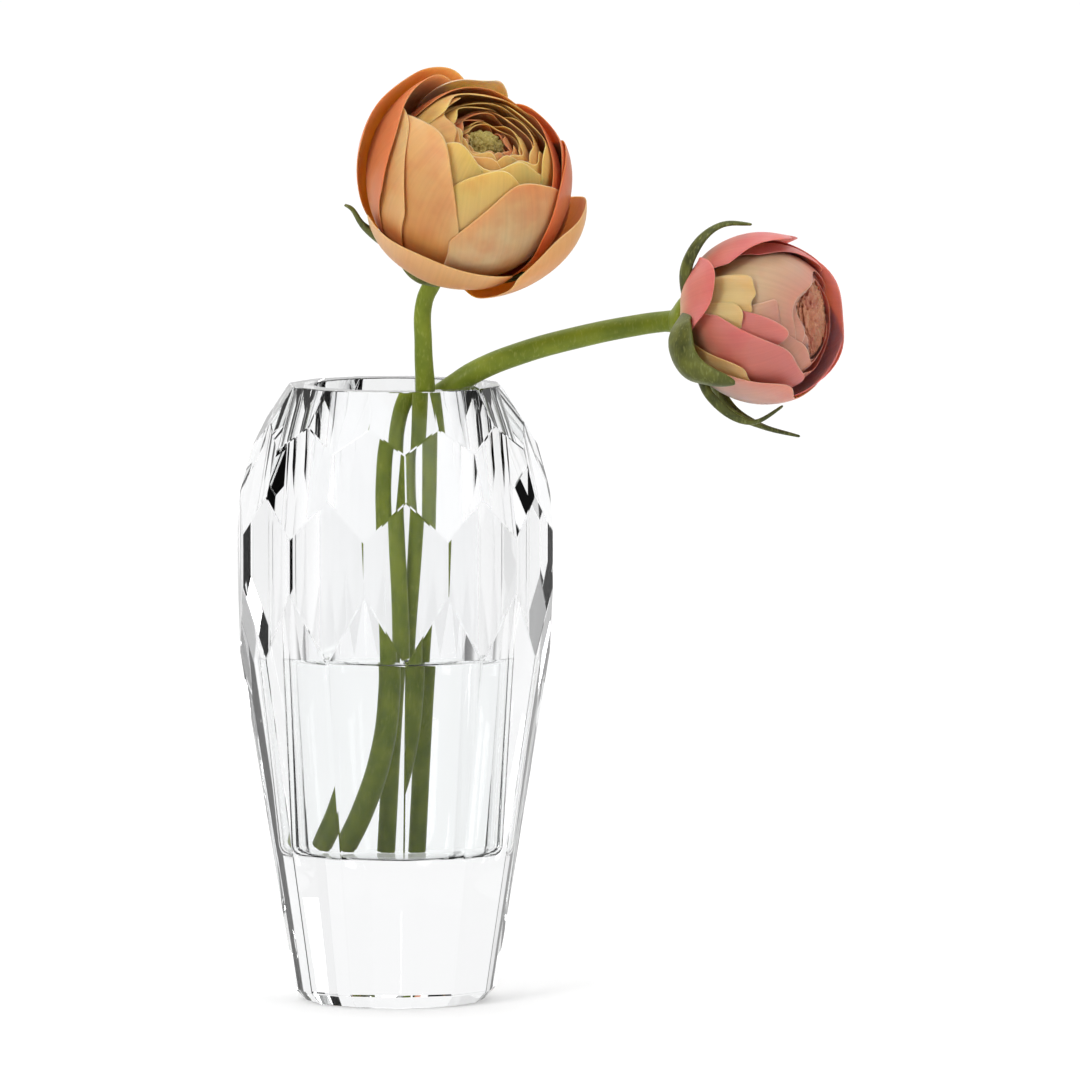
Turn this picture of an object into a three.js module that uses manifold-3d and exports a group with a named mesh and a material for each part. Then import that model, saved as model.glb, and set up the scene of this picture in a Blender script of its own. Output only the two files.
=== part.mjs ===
// A cut-crystal bud vase, the water in its well and the two ranunculus flowers that stand in it.
//
// Millimetres, +Z up. The origin is the centre of the vase's resting face, and its front looks along -Y.
// The vase is one block of glass, ground with five rings of flat facets and bored with a blind round well.
// Each flower is a stem, a receptacle, five sepals, separate outer petals, a tight heart and an eye.
import * as THREE from "three";
import { mergeVertices } from "three/addons/utils/BufferGeometryUtils.js";
import Module from "manifold-3d";

const wasm = await Module();
wasm.setup();

// ---------------------------------------------------------------- driving dimensions

const GAP = 0.35; // air left between neighbours that touch on the real object

const vase = {
  height: 160,
  facets: 12, // flats in each ring
  turn: 4.4, // degrees that the shoulder ring is turned from the front
  footChamfer: 3, // height of the chamfer that lifts the facets off the table
  footInset: 2.8, // how far the chamfer steps in
  footApothem: 25.2, // centre to flat at the top of the chamfer
  bellyApothem: 40.2, // centre to flat round the widest ring
  bellyBottomDrop: 60.8, // the belly ring's lower end, below the rim
  bellyTopDrop: 32.5, // the belly ring's upper end, below the rim
  shoulderDrop: 12.3, // the shoulder's break, below the rim
  shoulderInset: 5.4, // how far the flats have come in from the belly at that break
  rimWall: 5.9, // flat land of the rim, from the well to the shoulder flats
};

const well = {
  radius: 21,
  floor: 39, // thickness of solid glass under the well
  floorRadius: 3, // ground corner at the floor
  mouthChamfer: 0.6,
  segments: 72,
};

const water = {
  level: 90, // above the table
};

const stem = {
  sides: 10,
  steps: 48,
  neck: 2.5, // straight length that meets the receptacle square
};

const receptacle = {
  height: 4,
  sides: 20,
};

const petal = {
  thickness: 0.6,
  clawWidth: 4,
  clawHeight: 0.985, // how far below the head's centre a petal starts, of its own radius
  segmentsRound: 24,
  segmentsUp: 12,
};

const sepal = {
  count: 5,
  thickness: 0.9,
  standOff: 1.2, // from the head's outermost petal
  width: 7.5,
  clawWidth: 5,
  clawHeight: 0.955,
  tipHeight: 0.05, // above the head's centre, of its own radius
};

// Each head is built upright round its own centre and then leaned along its axis.
//
// A stem's route is tied to the vase. `foot`, `inWell` and `rim` give x and y as shares of the well's radius, and
// heights as shares of the way from the well's floor to the rim. `endTilt` is the lean of the cut end, as a sine.
// `rimLift` is how far the stem's axis passes above the rim, in stem radii, and the points in `above` are counted
// in mm from there. The last of them is the neck, where the head sits on the stem.
const orange = {
  name: "orange",
  colours: { petal: 0xe59a55, heart: 0xd9b45c, eye: 0x8f8a3a },
  axis: [0.28, -0.57, 0.77],
  heartRadius: 13,
  headRadius: 28,
  petals: 10,
  petalWidth: 1.5, // of the petal's own radius
  petalTops: [0.72, 0.3], // edge heights above the centre, of the radius, innermost to outermost
  eyeRadius: 5.5,
  stemRadius: 2.7,
  endTilt: 0.24,
  foot: [0.024, 0.729],
  inWell: [
    [0.19, 0.167, 0.446],
    [0.305, -0.129, 0.669],
  ],
  rim: [0.376, -0.548],
  rimLift: -0.74,
  above: [
    [-0.6, -2.8, 13],
    [-0.8, -4.7, 25],
    [2.9, -4.3, 31.8],
  ],
};

const pink = {
  name: "pink",
  colours: { petal: 0xdb7f7f, heart: 0xe6b48f, eye: 0x9a8a4a },
  axis: [0.905, -0.422, 0.06],
  heartRadius: 10,
  headRadius: 22,
  petals: 8,
  petalWidth: 1.45,
  petalTops: [0.8, 0.62],
  eyeRadius: 4.2,
  stemRadius: 2.75,
  endTilt: 0.71,
  foot: [-0.619, 0.305],
  inWell: [
    [-0.333, 0.071, 0.107],
    [-0.067, -0.143, 0.236],
    [0.038, -0.257, 0.364],
    [0.043, -0.262, 0.446],
    [0.019, -0.248, 0.554],
    [-0.029, -0.229, 0.669],
    [-0.048, -0.21, 0.769],
    [0.014, -0.185, 0.857],
    [0.171, -0.175, 0.917],
    [0.429, -0.18, 0.962],
    [0.714, -0.2, 0.998],
  ],
  rim: [1, -0.219],
  rimLift: 1.33,
  above: [
    [11.5, -0.3, 4.7],
    [27, -0.6, 9],
    [40, -0.8, 11.7],
    [50.3, -1.1, 13],
  ],
};

// ---------------------------------------------------------------- shared helpers

const DEG = Math.PI / 180;
const UP = new THREE.Vector3(0, 0, 1);

// A closed three.js geometry as a solid that can be joined and cut.
function toSolid(geometry) {
  const plain = geometry.clone();
  plain.deleteAttribute("normal");
  plain.deleteAttribute("uv");
  const merged = mergeVertices(plain, 1e-4);
  return new wasm.Manifold(
    new wasm.Mesh({
      numProp: 3,
      vertProperties: merged.attributes.position.array,
      triVerts: new Uint32Array(merged.index.array),
    }),
  );
}

function toGeometry(solid) {
  const mesh = solid.getMesh();
  const geometry = new THREE.BufferGeometry();
  geometry.setAttribute("position", new THREE.BufferAttribute(mesh.vertProperties, 3));
  geometry.setIndex(new THREE.BufferAttribute(mesh.triVerts, 1));
  geometry.computeVertexNormals();
  return geometry;
}

function node(name, geometry, look) {
  const mesh = new THREE.Mesh(geometry, new THREE.MeshStandardMaterial(look));
  mesh.name = name;
  return mesh;
}

const leafLook = { color: 0x6f8f2f, roughness: 0.55, metalness: 0 };

// ---------------------------------------------------------------- the vase

// Profile of the flats as [centre-to-flat distance, height], from the resting face to the rim.
function facetProfile() {
  const { height } = vase;
  const rimApothem = well.radius + vase.rimWall;
  return [
    [vase.footApothem - vase.footInset, 0],
    [vase.footApothem, vase.footChamfer],
    [vase.bellyApothem, height - vase.bellyBottomDrop],
    [vase.bellyApothem, height - vase.bellyTopDrop],
    [vase.bellyApothem - vase.shoulderInset, height - vase.shoulderDrop],
    [rimApothem, height],
  ];
}

// One ring of flats: a many-sided cone through two profile points, run out to the vase's full height.
function facetRing([lowApothem, lowHeight], [highApothem, highHeight], turned) {
  const slope = (highApothem - lowApothem) / (highHeight - lowHeight);
  const toCorner = 1 / Math.cos(Math.PI / vase.facets);
  const apothemAt = (z) => lowApothem + slope * (z - lowHeight);
  const cone = new THREE.CylinderGeometry(
    apothemAt(vase.height) * toCorner,
    apothemAt(0) * toCorner,
    vase.height,
    vase.facets,
  );
  cone.rotateX(90 * DEG);
  cone.translate(0, 0, vase.height / 2);
  // CylinderGeometry puts a corner on its first axis, so half a flat brings a flat to the front.
  const halfFlat = 180 / vase.facets;
  cone.rotateZ((vase.turn + halfFlat + (turned ? halfFlat : 0)) * DEG);
  return toSolid(cone);
}

// A round plug with the well's rounded floor, `inset` smaller than the well all round.
function plugProfile(inset) {
  const radius = well.radius - inset;
  const floor = well.floor + inset;
  const corner = well.floorRadius - inset;
  const profile = new THREE.Path();
  profile.moveTo(0, floor);
  profile.lineTo(radius - corner, floor);
  profile.absarc(radius - corner, floor + corner, corner, -Math.PI / 2, 0);
  return profile;
}

function turnedSolid(profile) {
  const lathe = new THREE.LatheGeometry(profile.getPoints(5), well.segments);
  lathe.rotateX(90 * DEG);
  return toSolid(lathe);
}

function wellCutter() {
  const { radius, mouthChamfer } = well;
  const top = vase.height;
  const profile = plugProfile(0);
  profile.lineTo(radius, top - mouthChamfer);
  profile.lineTo(radius + 2 * mouthChamfer, top + mouthChamfer);
  profile.lineTo(0, top + mouthChamfer);
  return turnedSolid(profile);
}

function vaseBody() {
  const profile = facetProfile();
  // The foot chamfer follows the taper's flats; every other ring is turned half a flat from its neighbour.
  const turned = [true, true, false, true, false];
  const rings = turned.map((half, i) => facetRing(profile[i], profile[i + 1], half));
  const block = rings.reduce((solid, ring) => solid.intersect(ring));
  const body = block.subtract(wellCutter());
  return node("vase_body", toGeometry(body), {
    color: 0xf2f6f8,
    roughness: 0.02,
    metalness: 0,
    transparent: true,
    opacity: 0.35,
  });
}

// The water stands clear of the glass and of both stems by GAP.
function waterBody() {
  const profile = plugProfile(GAP);
  profile.lineTo(well.radius - GAP, water.level);
  profile.lineTo(0, water.level);
  const plug = turnedSolid(profile);
  const channels = [orange, pink].map((flower) => toSolid(stemTube(flower, GAP)));
  const body = channels.reduce((solid, channel) => solid.subtract(channel), plug);
  return node("water", toGeometry(body), {
    color: 0xeaf4f6,
    roughness: 0.02,
    metalness: 0,
    transparent: true,
    opacity: 0.3,
  });
}

// ---------------------------------------------------------------- the flowers

function ball(radius) {
  const sphere = new THREE.SphereGeometry(radius, petal.segmentsRound, petal.segmentsUp);
  sphere.rotateX(90 * DEG);
  return toSolid(sphere);
}

// A leaf outline: narrow claw at the bottom, widest two thirds up, round top.
function leafOutline(width, clawWidth, bottom, top) {
  const half = width / 2;
  const claw = clawWidth / 2;
  const rise = top - bottom;
  const shoulder = bottom + 0.62 * rise;
  const outline = new THREE.Shape();
  outline.moveTo(-claw, bottom);
  outline.lineTo(claw, bottom);
  outline.bezierCurveTo(claw, bottom + 0.2 * rise, half, bottom + 0.35 * rise, half, shoulder);
  outline.bezierCurveTo(half, top - 0.08 * rise, 0.45 * half, top, 0, top);
  outline.bezierCurveTo(-0.45 * half, top, -half, top - 0.08 * rise, -half, shoulder);
  outline.bezierCurveTo(-half, bottom + 0.35 * rise, -claw, bottom + 0.2 * rise, -claw, bottom);
  return outline;
}

// A petal or sepal: the part of a thin ball that a leaf outline covers when seen from one side.
function leafOnBall(radius, thickness, outline, azimuth) {
  const shell = ball(radius + thickness).subtract(ball(radius));
  const prism = new THREE.ExtrudeGeometry(outline, {
    depth: radius + 2 * thickness,
    bevelEnabled: false,
    curveSegments: 5,
  });
  prism.rotateX(90 * DEG); // the outline now stands upright, facing along -Y
  prism.rotateZ(azimuth * DEG);
  return shell.intersect(toSolid(prism));
}

// The points that a stem's axis runs through, from the cut end to the neck.
function routeOf(flower) {
  const depth = vase.height - well.floor;
  const inVase = (x, y, share) =>
    new THREE.Vector3(x * well.radius, y * well.radius, well.floor + share * depth);
  const foot = inVase(...flower.foot, 0);
  foot.z += GAP + flower.endTilt * flower.stemRadius;
  const rim = inVase(...flower.rim, 1);
  rim.z += flower.rimLift * flower.stemRadius;
  const inWell = flower.inWell.map((point) => inVase(...point));
  const above = flower.above.map((offset) => new THREE.Vector3(...offset).add(rim));
  return [foot, ...inWell, rim, ...above];
}

function axisOf(flower) {
  return new THREE.Vector3(...flower.axis).normalize();
}

// The head's centre, which stands off the neck by the collar and the petals below it.
function headCentre(flower) {
  const { collarBottom } = headSizes(flower);
  const neck = routeOf(flower).at(-1);
  return axisOf(flower).multiplyScalar(GAP - collarBottom).add(neck);
}

// The stem, or with some `growth` the channel it leaves in the water, which is longer at the cut end.
function stemTube(flower, growth = 0) {
  const radius = flower.stemRadius + growth;
  const points = routeOf(flower);
  const neck = points.pop();
  points.push(axisOf(flower).multiplyScalar(-stem.neck).add(neck), neck);
  if (growth > 0) {
    const outward = points[0].clone().sub(points[1]).setLength(growth);
    points.unshift(points[0].clone().add(outward));
  }
  const line = new THREE.CatmullRomCurve3(points);
  const section = new THREE.Shape();
  for (let i = 0; i < stem.sides; i++) {
    const angle = (i / stem.sides) * 2 * Math.PI;
    const x = radius * Math.cos(angle);
    const y = radius * Math.sin(angle);
    if (i === 0) section.moveTo(x, y);
    else section.lineTo(x, y);
  }
  section.closePath();
  return new THREE.ExtrudeGeometry(section, { steps: stem.steps, extrudePath: line });
}

// Sizes that every piece of one head takes from the heart and the outermost petal.
function headSizes(flower) {
  const { heartRadius, headRadius, petals } = flower;
  const pitch = (headRadius - heartRadius - GAP - petal.thickness) / (petals - 1);
  const sepalRadius = headRadius + sepal.standOff;
  const collarTop = -(headRadius + GAP);
  const collarBottom = collarTop - receptacle.height;
  return { pitch, sepalRadius, collarTop, collarBottom };
}

function heart(flower) {
  const dimple = ball(flower.eyeRadius + GAP).translate([0, 0, flower.heartRadius]);
  return toGeometry(ball(flower.heartRadius).subtract(dimple));
}

// The eye fills the dimple and stands no prouder than the heart.
function eye(flower) {
  const bead = ball(flower.eyeRadius).translate([0, 0, flower.heartRadius]);
  return toGeometry(bead.intersect(ball(flower.heartRadius)));
}

function outerPetals(flower) {
  const goldenAngle = 137.5;
  const { pitch } = headSizes(flower);
  const [innerTop, outerTop] = flower.petalTops;
  const made = [];
  for (let i = 0; i < flower.petals; i++) {
    const radius = flower.heartRadius + GAP + i * pitch;
    const share = i / (flower.petals - 1);
    const top = radius * (innerTop + (outerTop - innerTop) * share);
    const bottom = -petal.clawHeight * radius;
    const outline = leafOutline(flower.petalWidth * radius, petal.clawWidth, bottom, top);
    const solid = leafOnBall(radius, petal.thickness, outline, i * goldenAngle);
    const name = `${flower.name}_petal_${String(i + 1).padStart(2, "0")}`;
    made.push(node(name, toGeometry(solid), { color: flower.colours.petal, roughness: 0.6 }));
  }
  return made;
}

function sepals(flower) {
  const { sepalRadius } = headSizes(flower);
  const bottom = -sepal.clawHeight * sepalRadius;
  const top = sepal.tipHeight * sepalRadius;
  const outline = leafOutline(sepal.width, sepal.clawWidth, bottom, top);
  const made = [];
  for (let i = 0; i < sepal.count; i++) {
    const solid = leafOnBall(sepalRadius, sepal.thickness, outline, (i * 360) / sepal.count);
    made.push(node(`${flower.name}_sepal_${i + 1}`, toGeometry(solid), leafLook));
  }
  return made;
}

// The receptacle: a small collar between the stem and the petals, as wide as the sepals leave room for.
function collar(flower) {
  const { sepalRadius, collarTop, collarBottom } = headSizes(flower);
  const clawReach = sepalRadius * Math.sqrt(1 - sepal.clawHeight ** 2);
  const profile = [
    new THREE.Vector2(0, collarBottom),
    new THREE.Vector2(flower.stemRadius, collarBottom),
    new THREE.Vector2(clawReach - GAP - sepal.thickness, collarTop),
    new THREE.Vector2(0, collarTop),
  ];
  const lathe = new THREE.LatheGeometry(profile, receptacle.sides);
  lathe.rotateX(90 * DEG);
  return lathe;
}

function flowerGroup(flower) {
  const whole = new THREE.Group();
  const head = new THREE.Group();
  head.quaternion.setFromUnitVectors(UP, axisOf(flower));
  head.position.copy(headCentre(flower));
  head.add(node(`${flower.name}_heart`, heart(flower), { color: flower.colours.heart, roughness: 0.6 }));
  head.add(node(`${flower.name}_eye`, eye(flower), { color: flower.colours.eye, roughness: 0.7 }));
  head.add(node(`${flower.name}_receptacle`, collar(flower), leafLook));
  head.add(...outerPetals(flower), ...sepals(flower));
  whole.add(head, node(`${flower.name}_stem`, stemTube(flower), leafLook));
  return whole;
}

// ---------------------------------------------------------------- the whole object

const budVase = new THREE.Group();
budVase.add(vaseBody(), waterBody(), flowerGroup(orange), flowerGroup(pink));

export default budVase;
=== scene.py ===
# %% [markdown]
# # A cut-crystal bud vase with two ranunculus flowers
#
# This notebook dresses an engineering model of a small crystal vase so that it looks like the real thing.
# The engineering model comes in first and never changes: it holds the sizes, the joints and what moves with
# what. Every visible piece is then modelled to lie in the space that the engineering model keeps for it,
# and is tied to the body that it moves with. All lengths are in metres, so `MM` turns millimetres into
# Blender's units.

import math

import bmesh
import bpy
from mathutils import Matrix, Vector, noise


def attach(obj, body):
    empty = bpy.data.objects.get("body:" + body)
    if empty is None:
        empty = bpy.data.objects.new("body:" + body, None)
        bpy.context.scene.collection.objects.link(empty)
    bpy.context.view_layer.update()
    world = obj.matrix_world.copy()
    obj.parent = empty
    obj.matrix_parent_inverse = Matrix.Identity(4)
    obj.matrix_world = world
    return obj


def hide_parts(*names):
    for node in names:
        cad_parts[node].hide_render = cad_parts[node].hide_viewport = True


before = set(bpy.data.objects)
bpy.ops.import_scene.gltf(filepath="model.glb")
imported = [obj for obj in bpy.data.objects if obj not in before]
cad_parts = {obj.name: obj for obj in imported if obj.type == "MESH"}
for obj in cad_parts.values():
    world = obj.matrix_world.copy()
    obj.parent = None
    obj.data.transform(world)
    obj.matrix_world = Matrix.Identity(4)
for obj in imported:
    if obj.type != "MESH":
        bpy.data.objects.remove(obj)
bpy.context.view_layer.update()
MM = 0.001


# %% [markdown]
# ## Small helpers
#
# Blender's operators act on whatever is selected, so every step starts by deselecting everything.
# `finish_piece` names a piece, gives it its finish, ties it to its body and hides the engineering pieces it
# stands for. The second group of helpers wires shader nodes: each makes one node, links it and hands back its
# output.

# %% Helpers for modelling with operators
def select_only(obj):
    bpy.ops.object.select_all(action="DESELECT")
    obj.select_set(True)
    bpy.context.view_layer.objects.active = obj


def apply_modifiers(obj):
    select_only(obj)
    for modifier in list(obj.modifiers):
        bpy.ops.object.modifier_apply(modifier=modifier.name)


def close_up(obj):
    """Turns every face of a closed mesh outwards and smooths the shading."""
    select_only(obj)
    bpy.ops.object.mode_set(mode="EDIT")
    bpy.ops.mesh.select_all(action="SELECT")
    bpy.ops.mesh.normals_make_consistent(inside=False)
    if bmesh.from_edit_mesh(obj.data).calc_volume(signed=True) < 0:
        bpy.ops.mesh.flip_normals()
    bpy.ops.object.mode_set(mode="OBJECT")
    bpy.ops.object.shade_smooth()


def join_pieces(pieces):
    """Joins several objects into the first one."""
    bpy.ops.object.select_all(action="DESELECT")
    for piece in pieces:
        piece.select_set(True)
    bpy.context.view_layer.objects.active = pieces[0]
    bpy.ops.object.join()
    return pieces[0]


def finish_piece(obj, name, body, material, replaces=()):
    obj.name = name
    obj.data.name = name
    obj.data.materials.clear()
    obj.data.materials.append(material)
    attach(obj, body)
    if replaces:
        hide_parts(*replaces)
    print(name, "has", len(obj.data.polygons), "faces")


print("modelling helpers ready")


# %% Helpers for wiring shader nodes
def set_input(tree, socket, value):
    """Fills a socket with another node's output, a plain number or a plain colour."""
    if isinstance(value, tuple):
        socket.default_value = (*value, 1)
    elif isinstance(value, float):
        socket.default_value = value
    else:
        tree.links.new(value, socket)


def maths(tree, operation, first, second=0.0, clamp=False):
    node = tree.nodes.new("ShaderNodeMath")
    node.operation = operation
    node.use_clamp = clamp
    set_input(tree, node.inputs[0], first)
    set_input(tree, node.inputs[1], second)
    return node.outputs[0]


def fit_range(tree, value, lowest, highest, new_lowest, new_highest, smooth=False):
    """Maps a value from one range onto another and stops at its ends."""
    node = tree.nodes.new("ShaderNodeMapRange")
    if smooth:
        node.interpolation_type = "SMOOTHSTEP"
    set_input(tree, node.inputs["Value"], value)
    set_input(tree, node.inputs["From Min"], lowest)
    set_input(tree, node.inputs["From Max"], highest)
    set_input(tree, node.inputs["To Min"], new_lowest)
    set_input(tree, node.inputs["To Max"], new_highest)
    return node.outputs[0]


def noise_pattern(tree, place, scale, detail):
    node = tree.nodes.new("ShaderNodeTexNoise")
    node.inputs["Scale"].default_value = scale
    node.inputs["Detail"].default_value = detail
    tree.links.new(place, node.inputs["Vector"])
    return node.outputs["Fac"]


def colour_ramp(tree, value, stops):
    """A colour that runs through (position, colour) stops."""
    ramp = tree.nodes.new("ShaderNodeValToRGB")
    elements = ramp.color_ramp.elements
    while len(elements) < len(stops):
        elements.new(0.5)
    for element, (position, colour) in zip(elements, stops):
        element.position = position
        element.color = (*colour, 1)
    tree.links.new(value, ramp.inputs["Fac"])
    return ramp.outputs["Color"]


def mix_colours(tree, factor, first, second, blend="MIX"):
    mix = tree.nodes.new("ShaderNodeMix")
    mix.data_type = "RGBA"
    mix.blend_type = blend
    set_input(tree, mix.inputs["Factor"], factor)
    set_input(tree, mix.inputs[6], first)
    set_input(tree, mix.inputs[7], second)
    return mix.outputs[2]


def stored_value(tree, name):
    """A number that each point of a mesh carries under this name."""
    attribute = tree.nodes.new("ShaderNodeAttribute")
    attribute.attribute_name = name
    return attribute.outputs["Fac"]


def add_relief(tree, height, strength):
    """Raises and sinks the surface by up to a tenth of a millimetre in the shading."""
    bump = tree.nodes.new("ShaderNodeBump")
    bump.inputs["Strength"].default_value = strength
    bump.inputs["Distance"].default_value = 0.1 * MM
    tree.links.new(height, bump.inputs["Height"])
    tree.links.new(bump.outputs[0], tree.nodes["Principled BSDF"].inputs["Normal"])


def new_finish(name):
    """A new material, its node tree and its shader."""
    material = bpy.data.materials.new(name)
    material.use_nodes = True
    return material, material.node_tree, material.node_tree.nodes["Principled BSDF"]


print("shader helpers ready")


# %% [markdown]
# ## Camera
#
# The vase is seen almost level, from far away, through a long lens. Its upright lines then stay upright,
# and the water's surface shows as a narrow ellipse.

# %% Camera
VIEW_WIDTH = 279.6 * MM
VIEW_CENTRE = Vector((37.5 * MM, 0.0, 119.5 * MM))
CAMERA_DISTANCE = 5.0
CAMERA_ELEVATION = math.radians(5)
SENSOR_WIDTH = 36
GLASS_BOUNCES = 24  # a ray crosses many faces on its way through cut glass and water

bpy.ops.object.select_all(action="DESELECT")
bpy.ops.object.camera_add()
camera = bpy.context.object
camera.data.sensor_width = SENSOR_WIDTH
camera.data.lens = SENSOR_WIDTH * CAMERA_DISTANCE / VIEW_WIDTH
camera.data.clip_end = 50
camera.location = VIEW_CENTRE + CAMERA_DISTANCE * Vector(
    (0, -math.cos(CAMERA_ELEVATION), math.sin(CAMERA_ELEVATION))
)
camera.rotation_euler = (math.radians(90) - CAMERA_ELEVATION, 0, 0)
bpy.context.scene.camera = camera
bpy.context.scene.view_settings.view_transform = "Standard"
bpy.context.scene.cycles.max_bounces = GLASS_BOUNCES
bpy.context.scene.cycles.transmission_bounces = GLASS_BOUNCES
print("lens", round(camera.data.lens), "mm")


# %% [markdown]
# ## Floor and light
#
# Clear glass has no colour of its own: it only shows what it bends into view. The room is therefore white
# behind the vase and greyer towards the sides and behind the camera, which draws the grey edges of the
# facets. The floor is pale and looks white by itself, and a little greyer through the glass, as a lit paper
# ground does.

# %% Floor
FLOOR_GLOW = 0.2

bpy.ops.object.select_all(action="DESELECT")
bpy.ops.mesh.primitive_plane_add(size=30, location=(0, 0, 0))
floor = bpy.context.object
floor.name = "floor"
floor_paint, floor_tree, floor_shader = new_finish("pale_floor")
floor_shader.inputs["Base Color"].default_value = (0.8, 0.8, 0.8, 1)
floor_shader.inputs["Emission Color"].default_value = (1, 1, 1, 1)
floor_shader.inputs["Roughness"].default_value = 0.9
floor_shader.inputs["Specular IOR Level"].default_value = 0.1
seen_directly = floor_tree.nodes.new("ShaderNodeLightPath").outputs["Is Camera Ray"]
floor_glow = maths(floor_tree, "MULTIPLY", seen_directly, FLOOR_GLOW)
floor_tree.links.new(floor_glow, floor_shader.inputs["Emission Strength"])
floor.data.materials.append(floor_paint)
print("floor is", floor.dimensions.x, "m wide")


# %% Room and lamps
def build_room():
    world = bpy.data.worlds.new("pale_room")
    world.use_nodes = True
    bpy.context.scene.world = world
    tree = world.node_tree
    split = tree.nodes.new("ShaderNodeSeparateXYZ")
    tree.links.new(tree.nodes.new("ShaderNodeTexCoord").outputs["Generated"], split.inputs[0])
    # white far behind the vase, grey on the camera's side
    walls = fit_range(tree, split.outputs["Y"], -0.75, 0.6, 0.28, 0.96, smooth=True)
    # dark uprights left and right, as a studio's black cards
    sideways = maths(tree, "ABSOLUTE", split.outputs["X"])
    cards = fit_range(tree, sideways, 0.7, 0.95, 1.0, 0.3, smooth=True)
    # a bright ceiling lights the floor and the tops of the petals
    ceiling = fit_range(tree, split.outputs["Z"], 0.6, 0.85, 0.0, 0.9, smooth=True)
    room = maths(tree, "ADD", maths(tree, "MULTIPLY", walls, cards), ceiling)
    # what the camera sees directly is plain white
    seen = tree.nodes.new("ShaderNodeLightPath").outputs["Is Camera Ray"]
    background = tree.nodes["Background"]
    tree.links.new(maths(tree, "MAXIMUM", room, seen), background.inputs["Color"])
    background.inputs["Strength"].default_value = 1.0


# name, place in metres, side in metres, power in watts
SOFTBOXES = [
    ("key_softbox", Vector((-0.9, -1.3, 1.1)), 0.7, 14),
    ("fill_softbox", Vector((1.2, -1.2, 0.7)), 0.5, 4),
]
LAMP_TARGET = Vector((0.03, 0, 0.18))

build_room()
for name, place, side, power in SOFTBOXES:
    bpy.ops.object.select_all(action="DESELECT")
    bpy.ops.object.light_add(type="AREA", location=place)
    lamp = bpy.context.object
    lamp.name = name
    lamp.data.shape = "RECTANGLE"
    lamp.data.size = lamp.data.size_y = side
    lamp.data.energy = power
    lamp.rotation_euler = (LAMP_TARGET - place).to_track_quat("-Z", "Y").to_euler()
    print(name, "at", tuple(round(v, 2) for v in place))


# %% [markdown]
# ## Glass and water finishes
#
# Crystal and water are clear, so a plain glass shader with the right bending power does the work, and the
# shape does the rest. Crystal bends light more than water does, so the water's own outline still shows in
# the well. Both mirror less than the plain shader would, because a dark studio gives them less to mirror.

# %% Glass finishes
def glass(name, tint, bending):
    material, _, shader = new_finish(name)
    shader.inputs["Base Color"].default_value = (*tint, 1)
    shader.inputs["Roughness"].default_value = 0.0
    shader.inputs["IOR"].default_value = bending
    shader.inputs["Transmission Weight"].default_value = 1.0
    shader.inputs["Specular Tint"].default_value = (0.25, 0.25, 0.25, 1)
    return material


crystal = glass("crystal", (0.99, 0.995, 1.0), 1.52)
clear_water = glass("clear_water", (0.985, 0.995, 0.99), 1.333)
for finish in (crystal, clear_water):
    bending = finish.node_tree.nodes["Principled BSDF"].inputs["IOR"].default_value
    print(finish.name, "bends light by", round(bending, 3))


# %% [markdown]
# ## Petal finishes
#
# Petals are thin and let some light through, so they get subsurface light. Their colour runs from the claw
# to the lip along the petal's own UV map, differs inside and outside, and blushes in soft clouds. Some inside
# colours are paler than the petal's own colour: painted light in the shaded hollow of the head. Fine veins
# run the same way; they are one node group that every petal finish shares, because all petals grow alike.

# %% Vein pattern
def build_vein_group():
    group = bpy.data.node_groups.new("veins", "ShaderNodeTree")
    for name in ("Across", "Along", "Count", "Seed"):
        group.interface.new_socket(name, in_out="INPUT", socket_type="NodeSocketFloat")
    group.interface.new_socket("Vein", in_out="OUTPUT", socket_type="NodeSocketFloat")
    entry = group.nodes.new("NodeGroupInput")
    leave = group.nodes.new("NodeGroupOutput")
    place = group.nodes.new("ShaderNodeCombineXYZ")
    stretched = maths(group, "MULTIPLY", entry.outputs["Across"], entry.outputs["Count"])
    group.links.new(stretched, place.inputs["X"])
    group.links.new(entry.outputs["Along"], place.inputs["Y"])
    group.links.new(entry.outputs["Seed"], place.inputs["Z"])
    fine = noise_pattern(group, place.outputs[0], 1.0, 3.0)
    group.links.new(fit_range(group, fine, 0.3, 0.7, 0.0, 1.0), leave.inputs["Vein"])
    return group


vein_group = build_vein_group()
print("vein group has", len(vein_group.nodes), "nodes")


# %% Petal finish
VEINS_ACROSS = 44
PETAL_SOFTNESS = 0.85


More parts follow.
